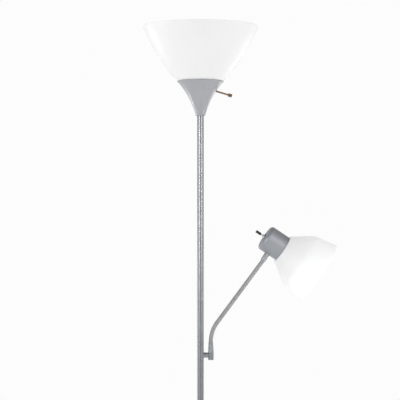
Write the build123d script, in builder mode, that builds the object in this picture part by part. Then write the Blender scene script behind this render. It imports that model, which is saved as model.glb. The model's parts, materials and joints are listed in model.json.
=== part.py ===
# Torchiere floor lamp with a reading light on a gooseneck.
# Millimetres, +Z up. The origin is the centre of the base, on the floor. The arm points along +X.
import os
from math import acos, atan, atan2, ceil, cos, degrees, hypot, radians, sin, sqrt

from build123d import *

os.makedirs("parts", exist_ok=True)

# ---------------------------------------------------------------- driving dimensions
# Base
base_diameter = 254.0
base_height = 30.0
base_rim_height = 14.0
base_edge_radius = 5.0
base_sheet = 1.2
base_land_radius = 16.0
pad_thickness = 2.0
cover_floor_gap = 1.0  # the cover hangs this far above the floor
weight_gap = 1.0  # air between the weight and the cover
nut_well_radius = 17.0
nut_well_depth = 10.0
washer_radius = 14.0
washer_height = 2.0
cord_channel_width = 8.0
cord_hole_diameter = 7.0
cord_hole_margin = 1.0  # metal left below the hole
cord_bore_diameter = 5.0
bushing_flange = 1.5

# Pole
pole_diameter = 16.0
pole_wall = 0.8
pole_section_lengths = [427.0, 427.0, 427.0, 273.0]  # from the base up
bush_length = 16.0
bush_inset = 0.5  # a bush stops this far inside the end of its pole
nipple_diameter = 10.0
nipple_wall = 1.5
nipple_grip = 14.0  # how far a nipple screws into a bush
nipple_end = 1.0  # how far a nipple stands out of the nut on its end
flex_width = 5.2
flex_thickness = 2.6
flex_end_drop = 10.0  # the flex ends this far below the top switch's stem

# Cup, switch and shade at the top
upper_cup_height = 84.0
upper_cup_radius = 56.0
upper_cup_foot_radius = 11.8
upper_cup_sagitta = 5.2
cup_wall = 1.0
upper_shade_height = 132.0
upper_shade_radius = 139.5
upper_shade_sagitta = 7.5
shade_wall = 2.0
shade_seat = 2.0  # how far a shade sinks into its cup
upper_stem_drop = 13.2  # the stem leaves the pole's axis this far under the cup's rim
upper_stem_angle = 15.6
upper_stem_diameter = 4.2
upper_stem_reach = 70.0
stem_hole_diameter = 6.2
upper_knob_diameter = 8.2
upper_knob_length = 9.5
upper_knob_bore = 5.0
knob_chamfer = 0.8
upper_switch_depth = 18.0
upper_switch_height = 11.0
upper_bushing_radius = 4.0
upper_bushing_length = 4.0

# Lampholder and bulb, the same in both lights
holder_radius = 16.5
holder_height = 36.0
holder_sink = 4.0  # the top lampholder stands this far below its cup's rim
holder_floor = 6.0
shell_radius = 13.9
shell_wall = 0.5
shell_inset = 2.0  # the screw shell ends this far below the holder's rim
leaf_thickness = 0.6
leaf_lift = 1.6  # how far the middle contact springs up
leaf_width = 6.0
leaf_tail = 8.0  # from the lampholder's axis to the leaf's riveted end
leaf_tip = 5.0
leaf_foot = 2.0  # the leaf starts to rise here
leaf_knee = 1.0  # and is level again here
cap_tip_radius = 4.5
cap_cone_height = 5.0
cap_inset = 1.0  # the bulb's cap ends this far below the holder's rim
cap_gap = 0.1
ring_width = 5.0
ring_height = 4.0
bulb_radius = 30.0
bulb_height = 75.0
bulb_neck_radius = 12.8
bulb_wall = 1.0

# Straps that carry the lampholders
strap_thickness = 1.2
strap_width = 8.0
strap_tuck = 1.0  # the reading light's strap ends this far beyond its holder's seat
strap_nut_gap = 0.7
hex_nut_width = 13.0
hex_nut_height = 5.0
base_nut_width = 16.0

# Arm
arm_drop = 303.0  # from the top of the arm pole down to the arm
arm_reach = 25.2
arm_collar_diameter = 12.8
arm_collar_length = 8.0
arm_nipple_diameter = 8.0
arm_nipple_wall = 1.5
fitting_below = 12.0
fitting_above = 32.0
fitting_foot_diameter = 14.0
fitting_top_diameter = 11.3
fitting_chamfer = 1.5

# Gooseneck
gooseneck_diameter = 10.4
gooseneck_root_radius = 4.3
gooseneck_bend_radius = 77.0
gooseneck_bend_angle = 36.8
gooseneck_straight = 180.0
gooseneck_tip_radius = 100.0
joint_count = 10
ribs_per_link = 8
rib_groove = 1.2
rib_crest = 0.9
plug_depth = 8.0
wire_bore_radius = 2.0
pivot_depth = 1.6  # a joint turns about a point this far below the middle of its gap
knuckle_radius = 3.2
knuckle_land = 0.3  # half the height of the knuckle's widest band
knuckle_crown = 0.9  # from the pivot to the upper end of the knuckle's slope
knuckle_heel = 1.0  # from the pivot to the lower end of the knuckle
knuckle_waist_radius = 2.7
knuckle_heel_radius = 2.6
knuckle_root = 0.2  # how far the knuckle's waist runs into its link
knuckle_clearance = 0.08
socket_floor = 2.4  # from the pivot down to where the socket is full width
socket_taper = 1.6  # and from there down to where it ends in the wire bore
bore_overrun = 0.5

# Reading light
head_tilt = 33.2  # below the horizontal
sleeve_diameter = 12.7
sleeve_length = 19.5
sleeve_setback = 25.0  # from the cup's rim back to the sleeve
spigot_diameter = 9.0
spigot_length = 9.0
head_cup_radius = 31.5
head_cup_depth = 53.0
head_cup_edge = 8.0
head_shade_radius = 79.0
head_shade_length = 103.5
head_shoulder_radius = 35.8
head_belly_radius = 69.4
head_belly_height = 48.2
head_belly_rounding = 45.0
head_neck_depth = 3.0
switch_radius = 9.0
switch_length = 11.0
switch_bushing_diameter = 7.0
switch_bushing_length = 6.0
switch_nut_width = 13.0
switch_nut_height = 3.0
switch_shaft_diameter = 4.0
shaft_bore_radius = 0.5
head_knob_diameter = 6.4
head_knob_length = 14.0
head_knob_standoff = 4.5  # shaft seen between the bushing and the knob

# Clearances
running_fit = 0.05
seat_gap = 0.05
wall_gap = 0.3
shaft_end_gap = 0.5  # between the end of a switch's shaft and the end of its hole
strap_switch_gap = 0.2

# ---------------------------------------------------------------- places worked out from them
base_radius = base_diameter / 2
weight_radius = base_radius - base_sheet - weight_gap
cord_hole_height = cover_floor_gap + cord_hole_margin + cord_hole_diameter / 2
pole_radius = pole_diameter / 2
pole_bore = pole_radius - pole_wall
pole_seams = [base_height + sum(pole_section_lengths[:count]) for count in range(1, 4)]
pole_top = base_height + sum(pole_section_lengths)
arm_height = pole_seams[-1] - arm_drop
fitting_top = arm_height + fitting_above
cup_rim = pole_top + upper_cup_height
gooseneck_radius = gooseneck_diameter / 2


# The plane that holds a frame's axis, with the radius along its X and the axis along its Y.
def section(frame):
    return Plane(origin=frame.origin, x_dir=frame.x_dir, z_dir=-frame.y_dir)


def centre_line(frame):
    return Axis(frame.origin, frame.z_dir)


def save(part, name):
    part.label = name
    export_step(part, f"parts/{name}.step")


# A straight round tube along a frame's axis.
def tube(frame, outer_radius, inner_radius, length):
    with BuildPart() as pipe:
        with BuildSketch(frame):
            Circle(outer_radius)
            Circle(inner_radius, mode=Mode.SUBTRACT)
        extrude(amount=length)
    return pipe.part


def hex_nut(frame, width, bore_radius, height):
    with BuildPart() as nut:
        with BuildSketch(frame):
            RegularPolygon(width / 2, 6, major_radius=False)
            Circle(bore_radius, mode=Mode.SUBTRACT)
        extrude(amount=height)
    return nut.part


# ---------------------------------------------------------------- base
with BuildPart() as base_cover:
    with BuildSketch(Plane.XZ):
        with BuildLine():
            Polyline(
                (0, cover_floor_gap),
                (base_radius, cover_floor_gap),
                (base_radius, base_rim_height),
                (base_land_radius, base_height),
                (0, base_height),
                close=True,
            )
        make_face()
    revolve(axis=Axis.Z)
    rim_edge = base_cover.edges().filter_by(GeomType.CIRCLE).filter_by(
        lambda edge: abs(edge.radius - base_radius) < 0.01
    ).sort_by(Axis.Z)[-1]
    fillet(rim_edge, base_edge_radius)
    offset(amount=-base_sheet, openings=base_cover.faces().sort_by(Axis.Z)[0])
    with BuildSketch(Plane.XY.offset(base_height)):
        Circle(nipple_diameter / 2)
    extrude(amount=-2 * base_sheet, mode=Mode.SUBTRACT)
    with BuildSketch(Plane.YZ.offset(-base_radius)):
        with Locations((0, cord_hole_height)):
            Circle(cord_hole_diameter / 2)
    extrude(amount=4 * base_sheet, mode=Mode.SUBTRACT)
save(base_cover.part, "base_cover")

with BuildPart() as base_weight:
    with BuildSketch(Plane.XZ):
        with BuildLine():
            Polyline(
                (nipple_diameter / 2, pad_thickness),
                (weight_radius, pad_thickness),
                (weight_radius, base_rim_height - base_sheet - 2 * weight_gap),
                (base_land_radius, base_height - base_sheet - 2 * weight_gap),
                (base_land_radius - 2 * weight_gap, base_height - base_sheet),
                (nipple_diameter / 2, base_height - base_sheet),
                close=True,
            )
        make_face()
    revolve(axis=Axis.Z)
    with BuildSketch(Plane.XY.offset(pad_thickness)):
        Circle(nut_well_radius)
    extrude(amount=nut_well_depth, mode=Mode.SUBTRACT)
    with BuildSketch(Plane.XY.offset(pad_thickness)):
        with Locations((-weight_radius / 2, 0)):
            Rectangle(weight_radius, cord_channel_width)
    extrude(amount=cord_hole_diameter, mode=Mode.SUBTRACT)
save(base_weight.part, "base_weight")

# The pad is glued over the whole underside, and hides the nut in its well.
with BuildPart() as base_pad:
    with BuildSketch(Plane.XY):
        Circle(weight_radius)
    extrude(amount=pad_thickness)
save(base_pad.part, "base_pad")

well_ceiling = pad_thickness + nut_well_depth
washer_frame = Plane.XY.offset(well_ceiling - washer_height)
save(tube(washer_frame, washer_radius, nipple_diameter / 2, washer_height), "base_washer")
base_nut_frame = washer_frame.offset(-hex_nut_height)
save(hex_nut(base_nut_frame, base_nut_width, nipple_diameter / 2, hex_nut_height), "base_nut")

# The cord enters through this bushing. It snaps into the hole at the back of the cover.
bushing_frame = Plane(
    origin=(-base_radius - bushing_flange, 0, cord_hole_height),
    x_dir=(0, 1, 0),
    z_dir=(1, 0, 0),
)
with BuildPart() as cord_bushing:
    with BuildSketch(bushing_frame):
        Circle(cord_hole_diameter / 2 + cord_hole_margin)
    extrude(amount=bushing_flange)
    with BuildSketch(bushing_frame):
        Circle(cord_hole_diameter / 2 - running_fit)
    extrude(amount=bushing_flange + 2 * base_sheet)
    with BuildSketch(bushing_frame):
        Circle(cord_bore_diameter / 2)
    extrude(amount=bushing_flange + 2 * base_sheet, mode=Mode.SUBTRACT)
save(cord_bushing.part, "cord_bushing")

# ---------------------------------------------------------------- pole
pole_names = ["lower_pole", "middle_pole", "arm_pole", "upper_pole"]
pole_feet = [base_height] + pole_seams
for pole_name, foot, length in zip(pole_names, pole_feet, pole_section_lengths):
    with BuildPart() as pole:
        with BuildSketch(Plane.XY.offset(foot)):
            Circle(pole_radius)
            Circle(pole_bore, mode=Mode.SUBTRACT)
        extrude(amount=length)
        if pole_name == "arm_pole":
            with BuildSketch(Plane.YZ):
                with Locations((0, arm_height)):
                    Circle(arm_nipple_diameter / 2)
            extrude(amount=pole_diameter, mode=Mode.SUBTRACT)
    save(pole.part, pole_name)

# A tapped bush is pressed into each end of each pole.
with BuildPart() as pole_bushes:
    for foot, length in zip(pole_feet, pole_section_lengths):
        for start in (foot + bush_inset, foot + length - bush_inset - bush_length):
            with BuildSketch(Plane.XY.offset(start)):
                Circle(pole_bore)
                Circle(nipple_diameter / 2, mode=Mode.SUBTRACT)
            extrude(amount=bush_length)
save(pole_bushes.part, "pole_bushes")

nipple_bore = nipple_diameter / 2 - nipple_wall
with BuildPart() as pole_nipples:
    for seam in pole_seams:
        with BuildSketch(Plane.XY.offset(seam - nipple_grip)):
            Circle(nipple_diameter / 2)
            Circle(nipple_bore, mode=Mode.SUBTRACT)
        extrude(amount=2 * nipple_grip)
save(pole_nipples.part, "pole_nipples")

base_nipple_foot = well_ceiling - washer_height - hex_nut_height - nipple_end
base_nipple_length = base_height + nipple_grip - base_nipple_foot
base_nipple_frame = Plane.XY.offset(base_nipple_foot)
save(tube(base_nipple_frame, nipple_diameter / 2, nipple_bore, base_nipple_length), "base_nipple")

# ---------------------------------------------------------------- arm
with BuildPart() as arm_insert:
    with BuildSketch(Plane.XY.offset(arm_height - bush_length / 2)):
        Circle(pole_bore)
        Circle(nipple_bore, mode=Mode.SUBTRACT)
    extrude(amount=bush_length)
    with BuildSketch(Plane.YZ):
        with Locations((0, arm_height)):
            Circle(arm_nipple_diameter / 2)
    extrude(amount=pole_diameter, mode=Mode.SUBTRACT)
save(arm_insert.part, "arm_insert")

arm_frame = Plane(origin=(0, 0, arm_height), x_dir=(0, 1, 0), z_dir=(1, 0, 0))
arm_nipple_start = nipple_bore + wall_gap
arm_nipple_end = arm_reach - wire_bore_radius - wall_gap
save(
    tube(
        arm_frame.offset(arm_nipple_start),
        arm_nipple_diameter / 2,
        arm_nipple_diameter / 2 - arm_nipple_wall,
        arm_nipple_end - arm_nipple_start,
    ),
    "arm_nipple",
)

# The collar's inner end is hollowed to sit on the round pole.
collar_end = pole_radius + arm_collar_length
with BuildPart() as arm_collar:
    with BuildSketch(arm_frame):
        Circle(arm_collar_diameter / 2)
        Circle(arm_nipple_diameter / 2, mode=Mode.SUBTRACT)
    extrude(amount=collar_end)
    with BuildSketch(Plane.XY.offset(arm_height - arm_collar_diameter)):
        Circle(pole_radius)
    extrude(amount=2 * arm_collar_diameter, mode=Mode.SUBTRACT)
save(arm_collar.part, "arm_collar")

with BuildPart() as arm_fitting:
    with BuildSketch(Plane.XZ):
        with BuildLine():
            Polyline(
                (arm_reach, arm_height - fitting_below),
                (arm_reach + fitting_foot_diameter / 2 - fitting_chamfer, arm_height - fitting_below),
                (arm_reach + fitting_foot_diameter / 2, arm_height - fitting_below + fitting_chamfer),
                (arm_reach + fitting_foot_diameter / 2, arm_height + arm_collar_diameter / 2),
                (arm_reach + fitting_top_diameter / 2, fitting_top),
                (arm_reach, fitting_top),
                close=True,
            )
        make_face()
    revolve(axis=Axis((arm_reach, 0, arm_height), (0, 0, 1)))
    with BuildSketch(arm_frame.offset(collar_end)):
        Circle(arm_collar_diameter / 2)
    extrude(amount=arm_reach - collar_end)
    with BuildSketch(arm_frame.offset(collar_end)):
        Circle(arm_nipple_diameter / 2)
    extrude(amount=arm_nipple_end - collar_end, mode=Mode.SUBTRACT)
    with BuildSketch(Plane.XY.offset(fitting_top)):
        with Locations((arm_reach, 0)):
            Circle(gooseneck_root_radius)
    extrude(amount=-plug_depth, mode=Mode.SUBTRACT)
    with BuildSketch(Plane.XY.offset(arm_height)):
        with Locations((arm_reach, 0)):
            Circle(wire_bore_radius)
    extrude(amount=fitting_above, mode=Mode.SUBTRACT)
save(arm_fitting.part, "arm_fitting")

# ---------------------------------------------------------------- gooseneck
# Its line in the lamp's XZ plane: up out of the fitting, a bend outwards, a straight run and a
# slight bend back.
with BuildLine(Plane.XZ) as gooseneck_line:
    foot_bend = JernArc(
        start=(arm_reach, fitting_top),
        tangent=(0, 1),
        radius=gooseneck_bend_radius,
        arc_size=-gooseneck_bend_angle,
    )
    run = PolarLine(start=foot_bend @ 1, length=gooseneck_straight, direction=foot_bend % 1)
    tip_bend = JernArc(
        start=run @ 1,
        tangent=run % 1,
        radius=gooseneck_tip_radius,
        arc_size=gooseneck_bend_angle - head_tilt,
    )
gooseneck_wire = gooseneck_line.wire()
gooseneck_length = gooseneck_wire.length
link_length = gooseneck_length / joint_count
rib_pitch = link_length / ribs_per_link


# The plane square to the gooseneck at a distance along it. Past an end the line goes straight on.
def gooseneck_plane(distance):
    inside = min(max(distance, 0), gooseneck_length)
    tangent = gooseneck_wire.tangent_at(inside, PositionMode.LENGTH)
    place = gooseneck_wire.position_at(inside, PositionMode.LENGTH) + tangent * (distance - inside)
    return Plane(origin=place, x_dir=(0, 1, 0), z_dir=tangent)


# The joints sit in the middle of the gooseneck's spans, so the first and the last link are half links.
def gap_middle(joint):
    return (joint - 0.5) * link_length


# One rigid link: trapezoid ribs outside, a socket at its top end, and at its foot a knuckle that
# turns in the socket of the link below. The first link is crimped into the fitting and the
# last one into the sleeve, each by a plain plug.
def gooseneck_link(number):
    is_first = number == 1
    is_last = number == joint_count + 1
    foot = 0 if is_first else gap_middle(number - 1)
    top = gooseneck_length if is_last else gap_middle(number)
    flank = (rib_pitch - rib_groove) / 2
    shoulder = foot if is_first else foot + rib_groove / 2
    collar = top if is_last else top - rib_groove / 2
    pivot = foot - pivot_depth
    socket_radius = knuckle_radius + knuckle_clearance
    with BuildPart() as link:
        if is_first:
            with BuildSketch(gooseneck_plane(-plug_depth)):
                Circle(gooseneck_root_radius)
            with BuildSketch(gooseneck_plane(foot)):
                Circle(gooseneck_root_radius)
        for rib in range(round((top - foot) / rib_pitch)):
            crest = foot + (rib + 0.5) * rib_pitch
            for along, radius in (
                (-flank, gooseneck_root_radius),
                (-rib_crest / 2, gooseneck_radius),
                (rib_crest / 2, gooseneck_radius),
                (flank, gooseneck_root_radius),
            ):
                with BuildSketch(gooseneck_plane(crest + along)):
                    Circle(radius)
        if is_last:
            with BuildSketch(gooseneck_plane(top)):
                Circle(gooseneck_root_radius)
            with BuildSketch(gooseneck_plane(top + plug_depth)):
                Circle(gooseneck_root_radius)
        loft(ruled=True)
        if not is_first:
            for along, radius in (
                (-knuckle_heel, knuckle_heel_radius),
                (-knuckle_land, knuckle_radius),
                (knuckle_land, knuckle_radius),
                (knuckle_crown, knuckle_waist_radius),
                (shoulder - pivot + knuckle_root, knuckle_waist_radius),
            ):
                with BuildSketch(gooseneck_plane(pivot + along)):
                    Circle(radius)
            loft(ruled=True)
        bore_foot = -plug_depth - bore_overrun if is_first else pivot - knuckle_heel - bore_overrun
        socket_foot = top - pivot_depth - socket_floor
        bore_top = top + plug_depth + bore_overrun if is_last else socket_foot - socket_taper
        steps = ceil((bore_top - bore_foot) / rib_pitch)
        for step in range(steps + 1):
            with BuildSketch(gooseneck_plane(bore_foot + step * (bore_top - bore_foot) / steps)):
                Circle(wire_bore_radius)
        if not is_last:
            with BuildSketch(gooseneck_plane(socket_foot)):
                Circle(socket_radius)
            with BuildSketch(gooseneck_plane(top)):
                Circle(socket_radius)
        loft(ruled=True, mode=Mode.SUBTRACT)
    return link.part


for number in range(1, joint_count + 2):
    save(gooseneck_link(number), f"gooseneck_link_{number:02d}")

# ---------------------------------------------------------------- reading light
# Its frame: the middle of the cup's rim, +Z out of the shade, +X along the lamp's Y.
sleeve_frame = gooseneck_plane(gooseneck_length)
head_direction = Vector(cos(radians(head_tilt)), 0, -sin(radians(head_tilt)))
head_origin = (
    sleeve_frame.origin
    + sleeve_frame.z_dir * (sleeve_length + head_cup_radius)
    + head_direction * sleeve_setback
)
head_frame = Plane(origin=head_origin, x_dir=(0, 1, 0), z_dir=head_direction)
head_back = head_frame.offset(-head_cup_depth)

with BuildPart() as gooseneck_sleeve:
    with BuildSketch(sleeve_frame):
        Circle(sleeve_diameter / 2)
    extrude(amount=sleeve_length + head_cup_radius / 2)
    with BuildSketch(head_back):
        Circle(head_cup_radius)
    extrude(amount=head_cup_depth, mode=Mode.SUBTRACT)
    with BuildSketch(sleeve_frame.offset(plug_depth)):
        Circle(spigot_diameter / 2)
    extrude(amount=sleeve_length + spigot_length - plug_depth)
    with BuildSketch(sleeve_frame):
        Circle(gooseneck_root_radius)
    extrude(amount=plug_depth, mode=Mode.SUBTRACT)
    with BuildSketch(sleeve_frame):
        Circle(wire_bore_radius)
    extrude(amount=sleeve_length + spigot_length, mode=Mode.SUBTRACT)
save(gooseneck_sleeve.part, "gooseneck_sleeve")

with BuildPart() as reading_cup:
    with BuildSketch(head_back):
        Circle(head_cup_radius)
    extrude(amount=head_cup_depth)
    fillet(reading_cup.edges().filter_by(GeomType.CIRCLE).sort_by(centre_line(head_frame))[0], head_cup_edge)
    offset(amount=-cup_wall, openings=reading_cup.faces().sort_by(centre_line(head_frame))[-1])
    with BuildSketch(head_back):
        Circle(switch_bushing_diameter / 2)
    extrude(amount=2 * cup_wall, mode=Mode.SUBTRACT)
    with BuildSketch(sleeve_frame):
        Circle(spigot_diameter / 2)
    extrude(amount=sleeve_length + spigot_length, mode=Mode.SUBTRACT)
save(reading_cup.part, "reading_cup")

# The nut's corners touch the round wall of the cup.
nut_corner = hex_nut_width / 2 / cos(radians(30))
nut_seat = sqrt((head_cup_radius - cup_wall) ** 2 - nut_corner**2)
sleeve_nut_frame = sleeve_frame.offset(sleeve_length + head_cup_radius - nut_seat)
save(hex_nut(sleeve_nut_frame, hex_nut_width, spigot_diameter / 2, hex_nut_height), "sleeve_nut")


# A strap bent to a tall box: a plate with a hole at the back, two legs, and a plate at the front.
def strap(back_frame, length, half_gap, hole_radius):
    span = 2 * (half_gap + strap_thickness)
    with BuildPart() as bracket:
        with BuildSketch(back_frame):
            Rectangle(span, strap_width)
        extrude(amount=length)
        with BuildSketch(back_frame.offset(strap_thickness)):
            Rectangle(2 * half_gap, strap_width)
        extrude(amount=length - 2 * strap_thickness, mode=Mode.SUBTRACT)
        with BuildSketch(back_frame):
            Circle(hole_radius)
        extrude(amount=strap_thickness, mode=Mode.SUBTRACT)
    return bracket.part


# A lampholder's body: a round cup that stands on its strap.
def lampholder(frame):
    with BuildPart() as body:
        with BuildSketch(frame):
            Circle(holder_radius)
        extrude(amount=holder_height)
        with BuildSketch(frame.offset(holder_floor)):
            Circle(shell_radius)
        extrude(amount=holder_height, mode=Mode.SUBTRACT)
    return body.part


def screw_shell(frame):
    start = holder_floor + cap_inset
    length = holder_height - start - shell_inset
    return tube(frame.offset(start), shell_radius, shell_radius - shell_wall, length)


# The springy middle contact: flat on the lampholder's floor, then bent up to the bulb's tip.
def contact_leaf(frame):
    with BuildPart() as leaf:
        with BuildSketch(Plane(origin=frame.origin, x_dir=frame.y_dir, z_dir=frame.x_dir)):
            with BuildLine():
                Polyline(
                    (-leaf_tail, holder_floor),
                    (-leaf_foot, holder_floor),
                    (leaf_knee, holder_floor + leaf_lift),
                    (leaf_tip, holder_floor + leaf_lift),
                    (leaf_tip, holder_floor + leaf_lift + leaf_thickness),
                    (leaf_knee - leaf_thickness / 3, holder_floor + leaf_lift + leaf_thickness),
                    (-leaf_foot - leaf_thickness / 3, holder_floor + leaf_thickness),
                    (-leaf_tail, holder_floor + leaf_thickness),
                    close=True,
                )
            make_face()
        extrude(amount=leaf_width / 2, both=True)
    return leaf.part


def shade_ring(frame):
    return tube(frame, holder_radius + ring_width, holder_radius, ring_height)


# The bulb's metal cap, with the tip that touches the contact.
def bulb_cap(frame):
    tip = holder_floor + leaf_lift + leaf_thickness
    radius = shell_radius - shell_wall - cap_gap
    with BuildPart() as cap:
        with BuildSketch(section(frame)):
            with BuildLine():
                Polyline(
                    (0, tip),
                    (cap_tip_radius, tip),
                    (radius, tip + cap_cone_height),
                    (radius, holder_height - cap_inset),
                    (0, holder_height - cap_inset),
                    close=True,
                )
            make_face()
        revolve(axis=centre_line(frame))
    return cap.part


# The bulb's glass: a flaring neck that runs on into a ball, blown thin.
def bulb_glass(frame):
    neck = holder_height - cap_inset
    widest = neck + bulb_height - bulb_radius
    neck_distance = hypot(bulb_neck_radius, widest - neck)
    touch_angle = degrees(atan2(widest - neck, bulb_neck_radius) - acos(bulb_radius / neck_distance))
    touch_radius = bulb_radius * cos(radians(touch_angle))
    touch_drop = bulb_radius * sin(radians(touch_angle))
    with BuildPart() as glass:
        with BuildSketch(section(frame)):
            with BuildLine():
                Line((0, neck), (bulb_neck_radius, neck))
                Line((bulb_neck_radius, neck), (touch_radius, widest - touch_drop))
                CenterArc((0, widest), bulb_radius, -touch_angle, 90 + touch_angle)
                Line((0, widest + bulb_radius), (0, neck))
            make_face()
        revolve(axis=centre_line(frame))
        offset(amount=-bulb_wall, openings=glass.faces().filter_by(GeomType.PLANE)[0])
    return glass.part


# The reading light's inside, from the back of the cup to the front.
strap_frame = head_back.offset(cup_wall)
head_strap_length = head_cup_depth - cup_wall - holder_height + ring_height - shade_wall + strap_tuck
head_strap_gap = switch_radius + strap_switch_gap
save(strap(strap_frame, head_strap_length, head_strap_gap, switch_bushing_diameter / 2), "reading_strap")

switch_frame = strap_frame.offset(strap_thickness)
bushing_end = head_cup_depth + switch_bushing_length
with BuildPart() as reading_switch:
    with BuildSketch(switch_frame):
        Circle(switch_radius)
    extrude(amount=switch_length)
    with BuildSketch(switch_frame):
        Circle(switch_bushing_diameter / 2)
    extrude(amount=-(cup_wall + strap_thickness + switch_bushing_length))
    with BuildSketch(head_back.offset(-switch_bushing_length)):
        Circle(switch_shaft_diameter / 2 + running_fit)
    extrude(amount=switch_bushing_length + cup_wall + strap_thickness + switch_length / 2, mode=Mode.SUBTRACT)
save(reading_switch.part, "reading_switch")

switch_nut_frame = head_back.offset(-switch_nut_height)
save(
    hex_nut(switch_nut_frame, switch_nut_width, switch_bushing_diameter / 2, switch_nut_height),
    "reading_switch_nut",
)

# The knob's shaft turns in the bushing. The knob is pushed on its outer end.
knob_start = switch_bushing_length + head_knob_standoff
shaft_start = head_back.offset(-(knob_start + head_knob_length / 2))
shaft_inside = cup_wall + strap_thickness + switch_length / 2 - shaft_end_gap
shaft_length = knob_start + head_knob_length / 2 + shaft_inside
save(tube(shaft_start, switch_shaft_diameter / 2, shaft_bore_radius, shaft_length), "reading_shaft")
with BuildPart() as reading_knob:
    with BuildSketch(head_back.offset(-knob_start)):
        Circle(head_knob_diameter / 2)
    extrude(amount=-head_knob_length)
    knob_end = reading_knob.edges().filter_by(GeomType.CIRCLE).sort_by(centre_line(head_frame))[0]
    chamfer(knob_end, knob_chamfer)
    with BuildSketch(head_back.offset(-knob_start)):
        Circle(switch_shaft_diameter / 2)
    extrude(amount=-head_knob_length / 2, mode=Mode.SUBTRACT)
save(reading_knob.part, "reading_knob")

head_holder_frame = strap_frame.offset(head_strap_length)
save(lampholder(head_holder_frame), "reading_holder")
save(screw_shell(head_holder_frame), "reading_screw_shell")
save(contact_leaf(head_holder_frame), "reading_contact")
save(bulb_cap(head_holder_frame), "reading_bulb_cap")
save(bulb_glass(head_holder_frame), "reading_bulb_glass")

# The bell: a short neck inside the cup, a shoulder on its rim, a cone, a rounded belly and a straight skirt.
neck_radius = head_cup_radius - cup_wall - seat_gap
with BuildPart() as reading_shade:
    with BuildSketch(section(head_frame)):
        with BuildLine():
            Polyline(
                (0, -head_neck_depth),
                (neck_radius, -head_neck_depth),
                (neck_radius, seat_gap),
                (head_shoulder_radius, seat_gap),
            )
            FilletPolyline(
                (head_shoulder_radius, seat_gap),
                (head_belly_radius, head_belly_height),
                (head_shade_radius, head_shade_length),
                radius=head_belly_rounding,
            )
            Polyline(
                (head_shade_radius, head_shade_length), (0, head_shade_length), (0, -head_neck_depth)
            )
        make_face()
    revolve(axis=centre_line(head_frame))
    offset(amount=-shade_wall, openings=reading_shade.faces().sort_by(centre_line(head_frame))[-1])
    with BuildSketch(head_frame.offset(-head_neck_depth)):
        Circle(holder_radius + wall_gap)
    extrude(amount=shade_wall, mode=Mode.SUBTRACT)
save(reading_shade.part, "reading_shade")
save(shade_ring(head_frame.offset(-head_neck_depth + shade_wall)), "reading_shade_ring")

# ---------------------------------------------------------------- top light
with BuildPart() as upper_cup:
    with BuildSketch(Plane.XZ):
        with BuildLine():
            Line((0, pole_top), (upper_cup_foot_radius, pole_top))
            SagittaArc(
                (upper_cup_foot_radius, pole_top), (upper_cup_radius, cup_rim), upper_cup_sagitta
            )
            Polyline((upper_cup_radius, cup_rim), (0, cup_rim), (0, pole_top))
        make_face()
    revolve(axis=Axis.Z)
    offset(amount=-cup_wall, openings=upper_cup.faces().sort_by(Axis.Z)[-1])
    with BuildSketch(Plane.XY.offset(pole_top)):
        Circle(nipple_diameter / 2)
    extrude(amount=2 * cup_wall, mode=Mode.SUBTRACT)
    stem_origin = (0, 0, cup_rim - upper_stem_drop)
    stem_direction = (cos(radians(upper_stem_angle)), 0, -sin(radians(upper_stem_angle)))
    stem_frame = Plane(origin=stem_origin, x_dir=(0, 1, 0), z_dir=stem_direction)
    with BuildSketch(stem_frame):
        Circle(stem_hole_diameter / 2)
    extrude(amount=upper_cup_radius, mode=Mode.SUBTRACT)
save(upper_cup.part, "upper_cup")

# The top light's frame stands on the pole with +X along the lamp's Y, so that the strap's legs
# are to the front and back and the switch's stem comes out between them.
upper_frame = Plane(origin=(0, 0, pole_top), x_dir=(0, 1, 0), z_dir=(0, 0, 1))
upper_strap_frame = upper_frame.offset(cup_wall)
upper_holder_frame = upper_frame.offset(upper_cup_height - holder_sink)
upper_strap_length = upper_cup_height - holder_sink - cup_wall
strap_half_gap = nut_corner + strap_nut_gap
save(strap(upper_strap_frame, upper_strap_length, strap_half_gap, nipple_diameter / 2), "upper_strap")
cup_nut_frame = upper_strap_frame.offset(strap_thickness)
save(hex_nut(cup_nut_frame, hex_nut_width, nipple_diameter / 2, hex_nut_height), "cup_nut")
top_nipple_frame = Plane.XY.offset(pole_top - nipple_grip)
top_nipple_length = nipple_grip + cup_wall + strap_thickness + hex_nut_height + nipple_end
save(tube(top_nipple_frame, nipple_diameter / 2, nipple_bore, top_nipple_length), "top_nipple")

with BuildPart() as pole_flex:
    with BuildSketch(base_nipple_frame):
        SlotOverall(flex_width, flex_thickness, rotation=90)
    extrude(amount=cup_rim - upper_stem_drop - flex_end_drop - base_nipple_foot)
save(pole_flex.part, "pole_flex")

# The rotary switch sits between the legs, riveted to them. Its bushing guides the long stem.
with BuildPart() as upper_switch:
    with BuildSketch(stem_frame.offset(-upper_switch_depth / 2)):
        Rectangle(2 * strap_half_gap, upper_switch_height)
    extrude(amount=upper_switch_depth)
    with BuildSketch(stem_frame.offset(upper_switch_depth / 2)):
        Circle(upper_bushing_radius)
    extrude(amount=upper_bushing_length)
    with BuildSketch(stem_frame.offset(upper_switch_depth / 4)):
        Circle(upper_stem_diameter / 2 + running_fit)
    extrude(amount=upper_switch_depth, mode=Mode.SUBTRACT)
save(upper_switch.part, "upper_switch")

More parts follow.
